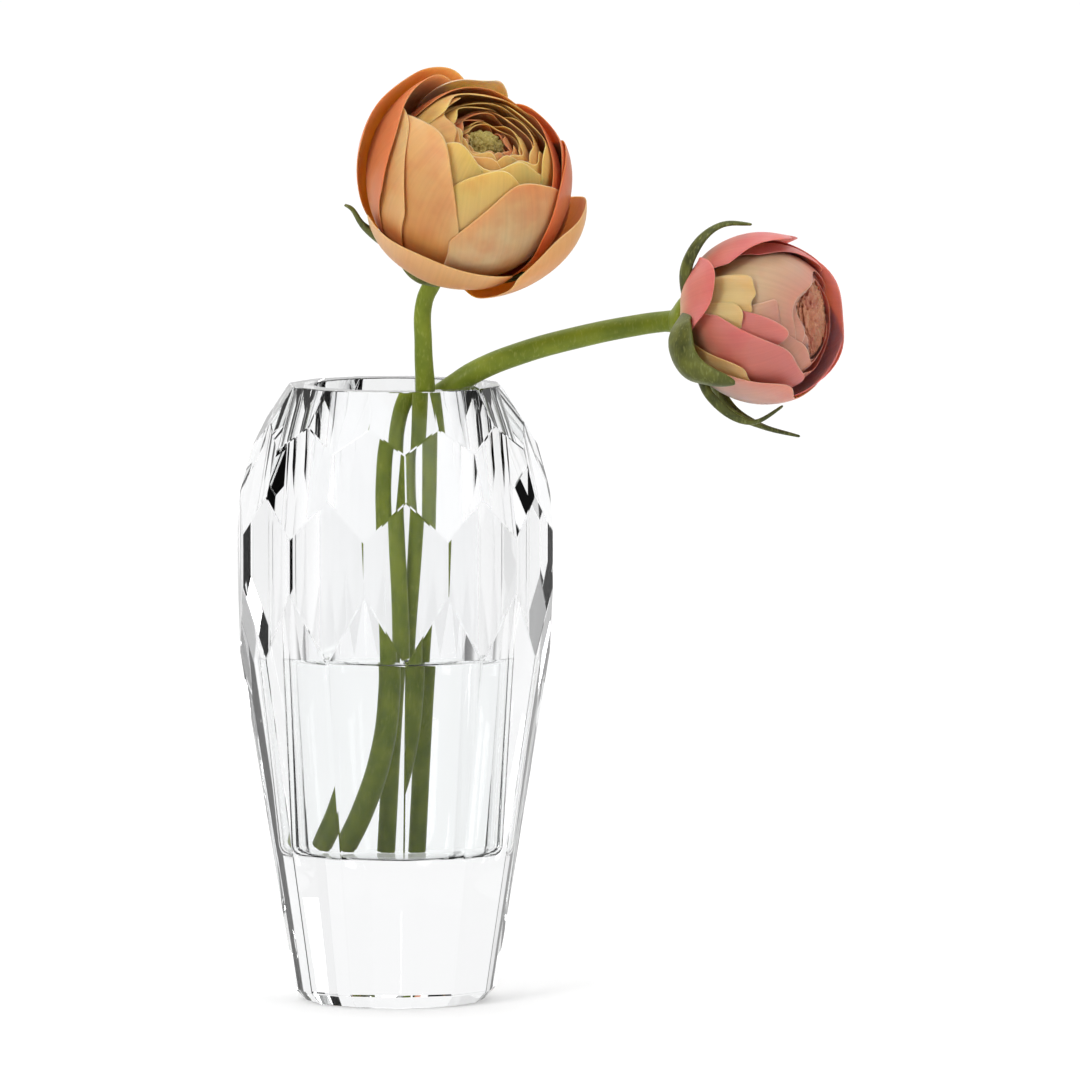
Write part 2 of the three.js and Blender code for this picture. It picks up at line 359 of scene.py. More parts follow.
def petal_finish(name, outside, inside, blush):
    """Colours outside and inside, each as (claw, middle, lip), blushed where the petal's tint asks."""
    material, tree, shader = new_finish(name)
    uv = tree.nodes.new("ShaderNodeUVMap")
    uv.uv_map = "petal"
    split = tree.nodes.new("ShaderNodeSeparateXYZ")
    tree.links.new(uv.outputs[0], split.inputs[0])
    across, along = split.outputs["X"], split.outputs["Y"]
    stops = (0.1, 0.6, 0.97)  # where the claw, the middle and the lip have their own colour
    outer = colour_ramp(tree, along, list(zip(stops, outside)))
    inner = colour_ramp(tree, along, list(zip(stops, inside)))
    sided = mix_colours(tree, stored_value(tree, "inner_face"), outer, inner)
    # broad soft blushes, strongest where the petal's tint is
    tint = stored_value(tree, "tint")
    cloud = noise_pattern(tree, tree.nodes.new("ShaderNodeTexCoord").outputs["Object"], 110, 3)
    amount = maths(tree, "ADD", tint, fit_range(tree, cloud, 0.3, 0.7, -0.3, 0.3), clamp=True)
    blushed = mix_colours(tree, amount, sided, blush)
    # veins run from the claw to the lip
    veins = tree.nodes.new("ShaderNodeGroup")
    veins.node_tree = vein_group
    veins.inputs["Count"].default_value = VEINS_ACROSS
    for socket, value in (("Across", across), ("Along", along), ("Seed", tint)):
        tree.links.new(value, veins.inputs[socket])
    shade = fit_range(tree, veins.outputs["Vein"], 0.0, 1.0, 0.94, 1.03)
    tree.links.new(mix_colours(tree, 1.0, blushed, shade, "MULTIPLY"), shader.inputs["Base Color"])
    add_relief(tree, veins.outputs["Vein"], 0.2)
    shader.inputs["Roughness"].default_value = 0.42
    shader.inputs["Specular IOR Level"].default_value = 0.22
    shader.inputs["Subsurface Weight"].default_value = PETAL_SOFTNESS
    shader.inputs["Subsurface Scale"].default_value = 1.6 * MM
    shader.inputs["Subsurface Radius"].default_value = (1.0, 0.62, 0.35)
    shader.inputs["Sheen Weight"].default_value = 0.05
    return material


print("petals let light in with a weight of", PETAL_SOFTNESS)


# %% Peach, salmon and golden petals
# linear colours, from the yellow claw to the blushed lip
PALE_GOLD = (0.62, 0.38, 0.07)
YELLOW_CREAM = (0.74, 0.45, 0.13)
PEACH = (0.68, 0.27, 0.08)
LIGHT_PEACH = (0.76, 0.40, 0.17)
SALMON = (0.62, 0.17, 0.055)
DEEP_SALMON = (0.66, 0.19, 0.07)
EMBER = (0.64, 0.15, 0.05)
DARK_GOLD = (0.60, 0.24, 0.035)
# an inside colour, paler than the petals' own amber: painted light in the shaded hollow of the bowl
AMBER_WITH_PAINTED_LIGHT = (0.74, 0.34, 0.075)
BLOSSOM = (0.84, 0.64, 0.46)
peach_petals = petal_finish(
    "peach_petals", (PALE_GOLD, PEACH, LIGHT_PEACH), (DARK_GOLD, AMBER_WITH_PAINTED_LIGHT, PEACH), SALMON
)
yellow_petals = petal_finish(
    "yellow_petals", (PALE_GOLD, LIGHT_PEACH, YELLOW_CREAM), (DARK_GOLD, AMBER_WITH_PAINTED_LIGHT, YELLOW_CREAM), SALMON
)
salmon_petals = petal_finish(
    "salmon_petals", (PEACH, SALMON, SALMON), (AMBER_WITH_PAINTED_LIGHT, LIGHT_PEACH, LIGHT_PEACH), DEEP_SALMON
)
ember_petals = petal_finish(
    "ember_petals", (PEACH, SALMON, EMBER), (DARK_GOLD, (0.70, 0.22, 0.04), AMBER_WITH_PAINTED_LIGHT), EMBER
)
pale_peach_petals = petal_finish(
    "pale_peach_petals", (PALE_GOLD, (0.80, 0.54, 0.30), LIGHT_PEACH),
    (AMBER_WITH_PAINTED_LIGHT, LIGHT_PEACH, LIGHT_PEACH), SALMON,
)
gold_petals = petal_finish(
    "gold_petals", (PALE_GOLD, PEACH, LIGHT_PEACH), (AMBER_WITH_PAINTED_LIGHT, (0.66, 0.33, 0.06), LIGHT_PEACH), PEACH
)
heart_finish = petal_finish(
    "heart_finish", (PALE_GOLD, YELLOW_CREAM, YELLOW_CREAM),
    ((0.8, 0.3, 0.06), (0.82, 0.38, 0.1), (0.8, 0.46, 0.14)), (0.62, 0.2, 0.08),
)
blossom_petals = petal_finish(
    "blossom_petals", (PALE_GOLD, LIGHT_PEACH, BLOSSOM), (AMBER_WITH_PAINTED_LIGHT, BLOSSOM, BLOSSOM), SALMON
)
print("finishes so far:", len(bpy.data.materials))


# %% Rose and cream petals
ROSE = (0.61, 0.19, 0.17)
DEEP_ROSE = (0.56, 0.08, 0.095)
CREAM = (0.68, 0.48, 0.22)
PALE_ROSE = (0.74, 0.42, 0.35)
rose_petals = petal_finish(
    "rose_petals", (CREAM, (0.62, 0.17, 0.12), ROSE), (CREAM, PALE_ROSE, ROSE), DEEP_ROSE
)
pale_rose_petals = petal_finish(
    "pale_rose_petals", (CREAM, PALE_ROSE, (0.66, 0.26, 0.2)), (CREAM, PALE_ROSE, PALE_ROSE), ROSE
)
# the inside colours are far paler than the petal's deep rose: painted light in the shaded gap where these
# petals stand open
deep_rose_petals_painted_lit_inside = petal_finish(
    "deep_rose_petals_painted_lit_inside", (PALE_ROSE, ROSE, DEEP_ROSE),
    ((0.92, 0.46, 0.46), (0.92, 0.4, 0.41), (0.88, 0.32, 0.34)), ROSE,
)
cream_petals = petal_finish(
    "cream_petals", (CREAM, CREAM, (0.62, 0.40, 0.17)), (CREAM, CREAM, CREAM), (0.50, 0.27, 0.06)
)
globe_petals = petal_finish(
    "globe_petals", (CREAM, (0.64, 0.40, 0.24), (0.64, 0.27, 0.2)),
    (CREAM, PALE_ROSE, ROSE), (0.60, 0.20, 0.15),
)
print("finishes so far:", len(bpy.data.materials))


# %% [markdown]
# ## Green finishes
#
# Stems and sepals are green in soft patches, under short pale hairs. The hairs are too fine to model one by
# one, so a noise pattern stretched along the stem lightens and roughens the skin. The crumpled eyes use it
# too.

# %% Green finishes
def green_finish(name, base, light, fuzz):
    material, tree, shader = new_finish(name)
    place = tree.nodes.new("ShaderNodeTexCoord").outputs["Object"]
    patches = colour_ramp(tree, noise_pattern(tree, place, 160, 3), [(0.35, base), (0.7, light)])
    stretch = tree.nodes.new("ShaderNodeMapping")
    stretch.inputs["Scale"].default_value = (1, 1, 0.35)
    tree.links.new(place, stretch.inputs["Vector"])
    hairs = noise_pattern(tree, stretch.outputs[0], 1600, 1)
    pale = fit_range(tree, hairs, 0.55, 0.8, 0.0, 0.5)
    tree.links.new(mix_colours(tree, pale, patches, fuzz), shader.inputs["Base Color"])
    add_relief(tree, hairs, 0.35)
    shader.inputs["Roughness"].default_value = 0.5
    shader.inputs["Specular IOR Level"].default_value = 0.35
    shader.inputs["Subsurface Weight"].default_value = 0.15
    shader.inputs["Subsurface Scale"].default_value = 1.0 * MM
    shader.inputs["Subsurface Radius"].default_value = (0.8, 1.0, 0.2)
    shader.inputs["Sheen Weight"].default_value = 0.15
    shader.inputs["Sheen Tint"].default_value = (0.8, 0.9, 0.5, 1)
    return material


stem_green = green_finish("stem_green", (0.13, 0.18, 0.004), (0.21, 0.26, 0.01), (0.34, 0.38, 0.07))
sepal_green = green_finish("sepal_green", (0.035, 0.042, 0.003), (0.12, 0.13, 0.012), (0.28, 0.3, 0.09))
eye_finish = green_finish("eye_finish", (0.20, 0.13, 0.02), (0.42, 0.33, 0.08), (0.55, 0.45, 0.16))
rose_eye_finish = green_finish("rose_eye_finish", (0.42, 0.10, 0.06), (0.58, 0.24, 0.13), (0.62, 0.36, 0.2))
print("finishes in all:", len(bpy.data.materials))


# %% [markdown]
# ## The crystal
#
# A glass cutter grinds flats onto a round blank, ring by ring, each ring turned half a flat from its
# neighbours. The same is done here: a tall drum is cut by one plane for each flat. Bisect with fill keeps
# the block closed. The well is bored by spinning its profile and taking it away. A hair-fine bevel on every
# edge catches light, as a polished edge does.

# %% Sizes of the crystal, mm
VASE_HEIGHT = 160
BLANK_RADIUS = 50
FACETS = 12
SHOULDER_TURN = 4.4  # degrees from the front to the middle of the nearest shoulder flat
EDGE_WIDTH = 0.22
WELL_RADIUS = 21
WELL_FLOOR = 39
WELL_CORNER = 3
WATER_LEVEL = 90
# centre-to-flat distance and height, from the resting face to the rim
FACET_PROFILE = [(22.4, 0), (25.2, 3), (40.2, 99.2), (40.2, 127.5), (34.8, 147.7), (26.9, 160)]
RING_TURNED = [True, True, False, True, False]
print("flats to cut:", FACETS * len(RING_TURNED))


# %% Cut the flats
def cut_flat(apothem_low, height_low, apothem_high, height_high, azimuth):
    """Cuts the edited mesh by the plane of one flat and closes the cut."""
    run, rise = apothem_high - apothem_low, height_high - height_low
    outward = Vector((math.sin(azimuth), -math.cos(azimuth), 0))
    normal = (outward * rise + Vector((0, 0, -run))).normalized()
    point = outward * apothem_low * MM + Vector((0, 0, height_low * MM))
    bpy.ops.mesh.select_all(action="SELECT")
    bpy.ops.mesh.bisect(
        plane_co=point, plane_no=normal, use_fill=True,
        clear_inner=False, clear_outer=True, threshold=1e-7,
    )


def make_block():
    bpy.ops.object.select_all(action="DESELECT")
    bpy.ops.mesh.primitive_cylinder_add(
        vertices=24, radius=BLANK_RADIUS * MM, depth=VASE_HEIGHT * MM,
        location=(0, 0, VASE_HEIGHT / 2 * MM),
    )
    block = bpy.context.object
    bpy.ops.object.transform_apply(location=True, rotation=True, scale=True)
    bpy.ops.object.mode_set(mode="EDIT")
    step = 2 * math.pi / FACETS
    for ring, turned in enumerate(RING_TURNED):
        (low, z_low), (high, z_high) = FACET_PROFILE[ring], FACET_PROFILE[ring + 1]
        for k in range(FACETS):
            azimuth = math.radians(SHOULDER_TURN) + (k + (0.5 if turned else 0)) * step
            cut_flat(low, z_low, high, z_high, azimuth)
    bpy.ops.mesh.select_all(action="SELECT")
    bpy.ops.mesh.remove_doubles(threshold=1e-6)
    bpy.ops.mesh.normals_make_consistent(inside=False)
    bpy.ops.object.mode_set(mode="OBJECT")
    return block


block = make_block()
print("cut block has", len(block.data.polygons), "faces")


# %% Bore the well
def spin_solid(profile, steps=96):
    """Spins an outline of (radius, height) points in mm, from axis to axis, into a closed solid."""
    bpy.ops.object.select_all(action="DESELECT")
    bpy.ops.mesh.primitive_plane_add(size=MM, location=(0, 0, 0))
    obj = bpy.context.object
    bpy.ops.object.mode_set(mode="EDIT")
    bpy.ops.mesh.select_all(action="SELECT")
    bpy.ops.mesh.merge(type="CENTER")
    bpy.ops.transform.translate(value=(profile[0][0] * MM, 0, profile[0][1] * MM))
    for (r, z), (r_next, z_next) in zip(profile, profile[1:]):
        step = ((r_next - r) * MM, 0, (z_next - z) * MM)
        bpy.ops.mesh.extrude_region_move(TRANSFORM_OT_translate={"value": step})
    bpy.ops.mesh.select_all(action="SELECT")
    bpy.ops.mesh.spin(steps=steps, angle=2 * math.pi, center=(0, 0, 0), axis=(0, 0, 1))
    bpy.ops.mesh.select_all(action="SELECT")
    bpy.ops.mesh.remove_doubles(threshold=1e-6)
    bpy.ops.mesh.normals_make_consistent(inside=False)
    bpy.ops.object.mode_set(mode="OBJECT")
    return obj


def corner_points(radius, floor, corner, steps=8):
    """The rounded corner at the foot of the well, from the floor to the wall."""
    points = []
    for i in range(steps + 1):
        angle = -math.pi / 2 + i / steps * math.pi / 2
        across = radius - corner + corner * math.cos(angle)
        points.append((across, floor + corner + corner * math.sin(angle)))
    return points


def bore_well(block):
    outline = [(0, WELL_FLOOR)] + corner_points(WELL_RADIUS, WELL_FLOOR, WELL_CORNER)
    outline += [(WELL_RADIUS, VASE_HEIGHT + 5), (0, VASE_HEIGHT + 5)]
    cutter = spin_solid(outline)
    boolean = block.modifiers.new("bore", "BOOLEAN")
    boolean.operation = "DIFFERENCE"
    boolean.solver = "EXACT"
    boolean.object = cutter
    select_only(block)
    bpy.ops.object.modifier_apply(modifier="bore")
    bpy.data.objects.remove(cutter)


bore_well(block)
print("bored block has", len(block.data.polygons), "faces")


# %% Polish the edges
edge = block.modifiers.new("polished_edges", "BEVEL")
edge.width = EDGE_WIDTH * MM
edge.segments = 1
edge.limit_method = "ANGLE"
edge.angle_limit = math.radians(10)
edge.use_clamp_overlap = True
apply_modifiers(block)
select_only(block)
bpy.ops.object.shade_smooth_by_angle(angle=math.radians(7))
finish_piece(block, "crystal_body", "vase", crystal, ["vase_body"])


# %% [markdown]
# ## The water
#
# Water wets glass, so its surface climbs a little at the wall. The water's side runs a twentieth of a
# millimetre into the glass: a ray then meets water and glass together, with no sliver of air between them,
# and bends as it does in a real vase.

# %% Water
def make_water():
    bite = 0.05
    radius = WELL_RADIUS + bite
    outline = [(0, WELL_FLOOR - bite)] + corner_points(radius, WELL_FLOOR - bite, WELL_CORNER)
    outline += [(radius, WATER_LEVEL + 1.2)]
    for inward, rise in ((0.25, 0.75), (0.6, 0.4), (1.1, 0.18), (1.9, 0.05), (3.0, 0.0)):
        outline.append((radius - inward, WATER_LEVEL + rise))
    outline.append((0, WATER_LEVEL))
    return spin_solid(outline)


water = make_water()
select_only(water)
bpy.ops.object.shade_smooth_by_angle(angle=math.radians(30))
finish_piece(water, "well_water", "vase", clear_water, ["water"])


# %% [markdown]
# ## Stems
#
# A stem is a smooth curve with thickness, a little fatter at its cut end. The route follows the engineering
# model's stem, so the flower stands in the well as that model says.

# %% Routes of the stems, mm, from the cut end to the neck
def towards(x, y, z):
    return Vector((x, y, z)).normalized()


PEACH_AXIS = towards(0.28, -0.57, 0.77)
PEACH_NECK = Vector((10.8, -15.8, 189.8))
PEACH_CENTRE = PEACH_NECK + PEACH_AXIS * 32.35
PEACH_ROUTE = [
    (0.5, 15.3, 40), (4, 3.5, 93), (6.4, -2.7, 120),
    (7.9, -11.2, 158), (7.4, -13.0, 171), (7.7, -13.9, 182.5),
]
PEACH_RADII = [2.95, 2.8, 2.75, 2.6, 2.3, 2.2, 2.3, 2.7]
ROSE_AXIS = towards(0.905, -0.422, 0.06)
ROSE_NECK = Vector((71.3, -5.7, 176.7))
ROSE_CENTRE = ROSE_NECK + ROSE_AXIS * 26.35
ROSE_ROUTE = [
    (-13, 6.4, 41.3), (-7, 1.5, 52), (-1.4, -3, 67.5), (0.8, -5.4, 83),
    (0.9, -5.5, 93), (0.4, -5.2, 106), (-0.6, -4.8, 120), (-1, -4.4, 132),
    (0.3, -3.9, 142.7), (3.6, -3.7, 150), (9, -3.8, 155.4), (15, -4.2, 159.8),
    (21, -4.6, 163.7), (32.5, -4.9, 168.4), (48, -5.2, 172.7), (61, -5.4, 175.4),
]
ROSE_RADII = [
    3.3, 3.3, 3.25, 3.2, 3.15, 3.05, 3.0, 2.95, 2.9, 2.9, 2.9, 2.9, 2.9, 2.9, 2.85, 2.75, 2.7, 2.9,
]
NECK_STRAIGHT = 2.0  # the last stretch runs square into the head
print("points on the routes:", len(PEACH_ROUTE), "and", len(ROSE_ROUTE))


# %% Make the stems
def make_stem(route, radii, neck, axis):
    """A tapering tube along a smooth curve through the route, ending square to the head."""
    points = [Vector(p) for p in route]
    points += [neck - axis * NECK_STRAIGHT, neck + axis]
    bpy.ops.object.select_all(action="DESELECT")
    bpy.ops.curve.primitive_bezier_curve_add()
    obj = bpy.context.object
    curve = obj.data
    curve.splines.clear()
    spline = curve.splines.new("BEZIER")
    spline.bezier_points.add(len(points) - 1)
    for point, place, radius in zip(spline.bezier_points, points, radii):
        point.co = place * MM
        point.handle_left_type = point.handle_right_type = "AUTO"
        point.radius = radius
    curve.dimensions = "3D"
    curve.resolution_u = 8
    curve.bevel_depth = MM
    curve.bevel_resolution = 8
    curve.use_fill_caps = True
    obj.location = (0, 0, 0)
    select_only(obj)
    bpy.ops.object.convert(target="MESH")
    obj = bpy.context.object
    bpy.ops.object.mode_set(mode="EDIT")
    bpy.ops.mesh.select_all(action="SELECT")
    bpy.ops.mesh.remove_doubles(threshold=1e-6)
    bpy.ops.mesh.normals_make_consistent(inside=False)
    bpy.ops.object.mode_set(mode="OBJECT")
    select_only(obj)
    bpy.ops.object.shade_smooth_by_angle(angle=math.radians(50))
    return obj


peach_stem = make_stem(PEACH_ROUTE, PEACH_RADII, PEACH_NECK, PEACH_AXIS)
finish_piece(peach_stem, "peach_flower_stem", "orange_flower", stem_green, ["orange_stem"])
rose_stem = make_stem(ROSE_ROUTE, ROSE_RADII, ROSE_NECK, ROSE_AXIS)
finish_piece(rose_stem, "rose_flower_stem", "pink_flower", stem_green, ["pink_stem"])


# %% [markdown]
# ## Petals
#
# A ranunculus petal is a shallow spoon. It grows from a narrow claw at the base of the head, hugs the ball
# of petals inside it, and ends in a thin, slightly wavy lip. Each one starts as a flat grid. Its points are
# then moved in code onto the spoon, because a free organic surface has no simple list of operators.
# Solidify and Subdivision Surface give it its thickness and softness. Angles are read as on a globe: `turn`
# goes round the head's axis from the side that faces the viewer, and `tip` is how far from the axis the lip
# ends.

# %% Shape of one petal
class Head:
    """The frame of one flower head: `side` and `front` span the plane across its axis."""

    def __init__(self, centre, axis):
        self.centre = centre
        self.axis = axis
        toward = Vector((0, -1, 0))
        self.front = (toward - axis * toward.dot(axis)).normalized()
        self.side = self.front.cross(axis).normalized()

    def place(self, x, y, z):
        return (self.centre + self.side * x + self.front * y + self.axis * z) * MM


def spoon(radius, turn, tip, half, **more):
    """One petal: the ball it lies on in mm, its direction, its lip and half width in degrees, and more."""
    p = {
        "base": 172, "skew": 0, "slant": 0, "lean": 0, "rise": 0.0,  # where it grows, how it leans
        "corner": 0.3, "square": 2.4, "claw": 0.22,  # its outline
        "spiral": 0.7, "flare": 0.0, "roll": 0.0, "cup": 0.3,  # its hollow, mm
        "wave": 0.45, "waves": 5.0, "ruffle": 0.03, "bumps": 0.45,  # its unevenness
        "tint": 0.2, "tint_lip": 0.2,  # its blush at the claw and at the lip
        "seed": radius * 1.7 + turn * 0.13,
    }
    p.update({"radius": radius, "turn": turn, "tip": tip, "half": half})
    p.update(more)
    return p


def petal_point(u, v, p):
    """A petal's point in its head's frame, mm. u runs across from -1 to 1, v from the claw to the lip."""
    reach = v * (1 - p["corner"] * abs(u) ** p["square"] * v)
    reach *= 1 - p["ruffle"] * v**4 * (0.5 + 0.5 * math.sin(u * p["waves"] * 1.3 + p["seed"]))
    polar = math.radians(p["base"] + (p["tip"] - p["base"]) * reach + p["slant"] * u * v)
    fullness = p["claw"] + (1 - p["claw"]) * math.sin(min(1.0, v / 0.62) * math.pi / 2)
    spread = p["half"] * fullness / max(0.35, math.sin(polar) ** 0.6)
    azimuth = math.radians(p["turn"] + p["skew"] * (v - 0.5) + u * spread)
    ball = p["radius"] + p["spiral"] * u - p["cup"] * u**4
    ball += p["flare"] * v**3 + p["roll"] * max(0.0, (v - 0.78) / 0.22) ** 2
    ball += p["wave"] * v**3 * math.sin(u * p["waves"] + p["seed"] * 1.7)
    ball += p["bumps"] * noise.noise(Vector((u * 1.6, v * 2.4, p["seed"] * 3.1)))
    x = ball * math.sin(polar) * math.sin(azimuth)
    y = ball * math.sin(polar) * math.cos(azimuth)
    point = Vector((x, y, ball * math.cos(polar) + p["rise"]))
    # the whole petal falls open about its claw
    turn = math.radians(p["turn"])
    hinge = Vector((0, 0, -p["radius"]))
    opening = Matrix.Rotation(math.radians(p["lean"]), 3, Vector((-math.cos(turn), math.sin(turn), 0)))
    return opening @ (point - hinge) + hinge


lip = petal_point(0, 1, spoon(24, 0, 40, 50))
print("a petal's lip lies", round(lip.length, 1), "mm from its head's middle")


# %% Make one petal
def thicken(obj, thickness):
    solid = obj.modifiers.new("thickness", "SOLIDIFY")
    solid.thickness = thickness * MM
    solid.offset = 0
    smooth = obj.modifiers.new("softness", "SUBSURF")
    smooth.levels = smooth.render_levels = 1
    apply_modifiers(obj)


def make_petal(head, p, cells=(14, 16), thickness=0.3):
    bpy.ops.object.select_all(action="DESELECT")
    bpy.ops.mesh.primitive_grid_add(
        x_subdivisions=cells[0], y_subdivisions=cells[1], size=2, location=(0, 0, 0)
    )
    obj = bpy.context.object
    mesh = obj.data
    flat = [(v.co.x, (v.co.y + 1) / 2) for v in mesh.vertices]
    layer = mesh.uv_layers[0] if mesh.uv_layers else mesh.uv_layers.new()
    layer.name = "petal"
    for loop in mesh.loops:
        u, v = flat[loop.vertex_index]
        layer.data[loop.index].uv = ((u + 1) / 2, v)
    tint = mesh.attributes.new("tint", "FLOAT", "POINT")
    for vertex, (u, v) in zip(mesh.vertices, flat):
        vertex.co = head.place(*petal_point(u, v, p))
        tint.data[vertex.index].value = p["tint"] + (p["tint_lip"] - p["tint"]) * v
    thicken(obj, thickness)
    close_up(obj)
    mark_inner_face(obj, head)
    return obj


def mark_inner_face(obj, head):
    """Stores 1 on the side of a petal that looks at the head's middle, and 0 on the other side."""
    mesh = obj.data
    inner = mesh.attributes.new("inner_face", "FLOAT", "POINT")
    for vertex in mesh.vertices:
        outward = (vertex.co - head.centre * MM).normalized()
        inner.data[vertex.index].value = min(1.0, max(0.0, 0.5 - 2 * vertex.normal.dot(outward)))


peach_head = Head(PEACH_CENTRE, PEACH_AXIS)
rose_head = Head(ROSE_CENTRE, ROSE_AXIS)
for head in (peach_head, rose_head):
    print("head's middle, mm:", tuple(round(v, 1) for v in head.centre))


# %% [markdown]
# ## The peach flower's head
#
# Its packed heart is a swirl of small petals round a greenish eye, sunk in a bowl of larger ones. Each
# petal of the heart starts about 137 degrees round from the one before, the angle at which the plant itself
# sets them.

# %% Peach heart
GOLDEN_ANGLE = 137.5


def heart_petals(head, count, radii, tips, rises, halves, tints, more):
    """A swirl of petals from the eye outwards. Each pair gives the value at the eye and at the outside."""
    made = []
    for i in range(count):
        share = i / (count - 1)

        def between(pair):
            return pair[0] + (pair[1] - pair[0]) * share

        p = spoon(
            between(radii), i * GOLDEN_ANGLE + 20 + 9 * math.sin(i * 3.1),
            between(tips) + 5 * math.sin(i * 2.3), between(halves) + 6 * math.sin(i * 1.3),
            base=150, rise=between(rises), wave=0.9 - 0.5 * share, waves=6, corner=0.2, ruffle=0.1,
            tint=between(tints), tint_lip=between(tints) + 0.35 * math.sin(i * 1.9), seed=i + 0.5,
        )
        p.update(more)
        made.append(make_petal(head, p, cells=(12, 12), thickness=0.28))
    return made


heart = join_pieces(
    heart_petals(
        peach_head, 28, (6.0, 22.6), (30, 33), (8.5, 0.8), (58, 68), (0.9, 0.0), {"flare": -0.6, "bumps": 0.6}
    )
)
finish_piece(heart, "peach_flower_heart", "orange_flower", heart_finish, ["orange_heart"])


# %% Peach outer petals
def outer_petals(head, petals, body, cad_name, cad_count, name):
    """Makes the petals from the inside out. The first ones stand for the engineering model's own petals."""
    for i, (finish, p) in enumerate(petals, start=1):
        replaces = [f"{cad_name}_petal_{i:02d}"] if i <= cad_count else []
        finish_piece(make_petal(head, p), f"{name}_petal_{i:02d}", body, finish, replaces)


outer_petals(
    peach_head,
    [
        (ember_petals, spoon(23.2, -116, 41, 62, skew=-8, tint=0.3, tint_lip=0.6)),
        (yellow_petals, spoon(23.4, 10, 32, 44, skew=16, tint=-0.2, tint_lip=-0.2, corner=0.4)),
        (salmon_petals, spoon(24.0, 150, 39, 64, tint=0.1, tint_lip=0.2)),
        (yellow_petals, spoon(23.9, -26, 39, 44, skew=16, tint=0.0, tint_lip=-0.1, corner=0.4)),
        (ember_petals, spoon(25.0, -128, 42, 58, tint=0.3, tint_lip=0.7)),
        (peach_petals, spoon(25.6, 44, 38, 52, skew=10, flare=0.8, tint=0.2, tint_lip=0.1, corner=0.35)),
        (pale_peach_petals, spoon(24.8, -52, 48, 48, skew=12, tint=-0.3, tint_lip=0.45, corner=0.35)),
        (salmon_petals, spoon(27.2, 106, 48, 58, flare=1.8, tint=0.1, tint_lip=0.0, spiral=0.6)),
        (salmon_petals, spoon(27.4, 118, 56, 46, flare=4.6, corner=0.2, spiral=-0.8, tint=0.0, tint_lip=0.1)),
        (peach_petals, spoon(27.6, 6, 100, 50, lean=2, corner=0.1, tint=0.2, tint_lip=-0.2, roll=0.4)),
        (
            gold_petals,
            spoon(28.6, -80, 73, 42, lean=3, flare=2.2, corner=0.25, roll=-2.0, tint=-0.3, tint_lip=0.1),
        ),
        (salmon_petals, spoon(26.6, 206, 76, 62, tint=0.1, tint_lip=0.3)),
        (blossom_petals, spoon(26.6, 156, 37, 27, corner=0.2, tint=-0.4, tint_lip=-0.4)),
        (ember_petals, spoon(25.9, -100, 50, 46, tint=0.1, tint_lip=0.5)),
        (peach_petals, spoon(26.6, 76, 52, 46, flare=0.8, tint=0.3, tint_lip=0.0)),
    ],
    "orange_flower", "orange", 10, "peach_flower",
)


# %% Eye
def make_eye(head, radius, rise, folds, flat, seed):
    """A crumpled knot of tiny unopened petals: a round bead whose skin is folded into sharp creases."""
    bpy.ops.object.select_all(action="DESELECT")
    bpy.ops.mesh.primitive_ico_sphere_add(subdivisions=6, radius=1, location=(0, 0, 0))
    obj = bpy.context.object
    for vertex in obj.data.vertices:
        n = vertex.co.normalized()
        wander_x = noise.noise(n * 2 + Vector((seed, 0, 0)))
        wander_y = noise.noise(n * 2 + Vector((0, seed, 0)))
        wander = Vector((wander_x, wander_y, 0))
        crease = 1 - 2.2 * abs(noise.noise((n + wander * 0.5) * folds + Vector((0, 0, seed))))
        fine = 1 - 2.2 * abs(noise.noise(n * folds * 2.6 + Vector((seed, seed, 0))))
        r = radius * (0.82 + 0.24 * crease + 0.1 * fine)
        vertex.co = head.place(n.x * r, n.y * r, n.z * r * flat + rise)
    obj.data.update()
    close_up(obj)
    return obj


eye = make_eye(peach_head, 5.2, 11.2, 3.6, 0.75, 2.0)
finish_piece(eye, "peach_flower_eye", "orange_flower", eye_finish, ["orange_eye"])


# %% [markdown]
# ## The rose flower's head
#
# It is still closing round its heart and hangs out to the right, so it shows its side: a cream globe of
# inner petals, small cream petals that never grew, and rose outer ones that have started to fall open.

